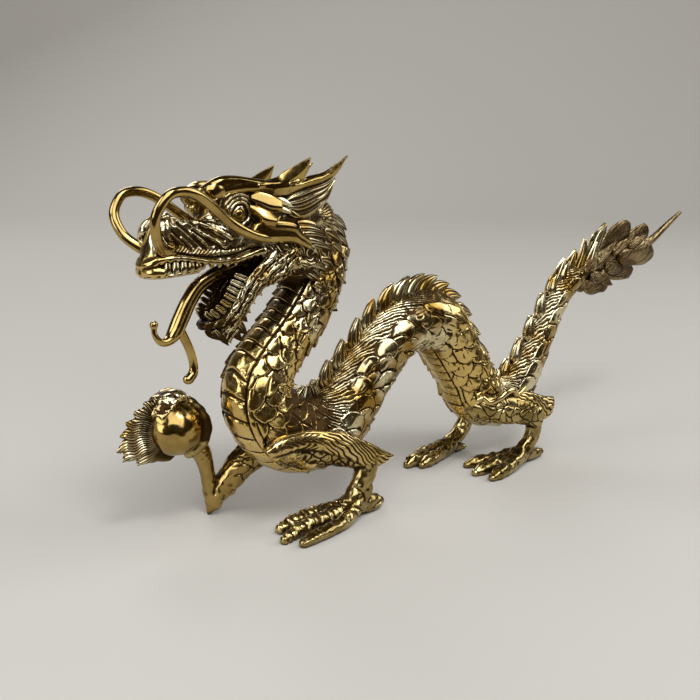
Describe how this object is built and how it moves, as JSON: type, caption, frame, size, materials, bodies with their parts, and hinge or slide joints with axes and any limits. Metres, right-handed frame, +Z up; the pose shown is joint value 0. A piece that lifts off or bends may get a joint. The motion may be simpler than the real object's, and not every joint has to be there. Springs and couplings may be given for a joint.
{
  "type": "cast brass dragon sculpture",
  "caption": "Tabletop dragon cast in brass, striding on its feet and an elbow, arched scaly body, open jaws, looped whiskers, a flaming pearl in its raised claw.",
  "frame": {"origin": "centre of the box that holds the dragon, on the surface that its soles stand on", "axes": "+X along the body from the head to the tail, -Y to the dragon's left side, +Z up"},
  "size_m": [0.322, 0.0592, 0.1483],
  "materials": {
    "brass": "polished cast brass with black-brown patina left in the recesses"
  },
  "bodies": {
    "root": {"dragon": "brass"}
  },
  "joints": []
}
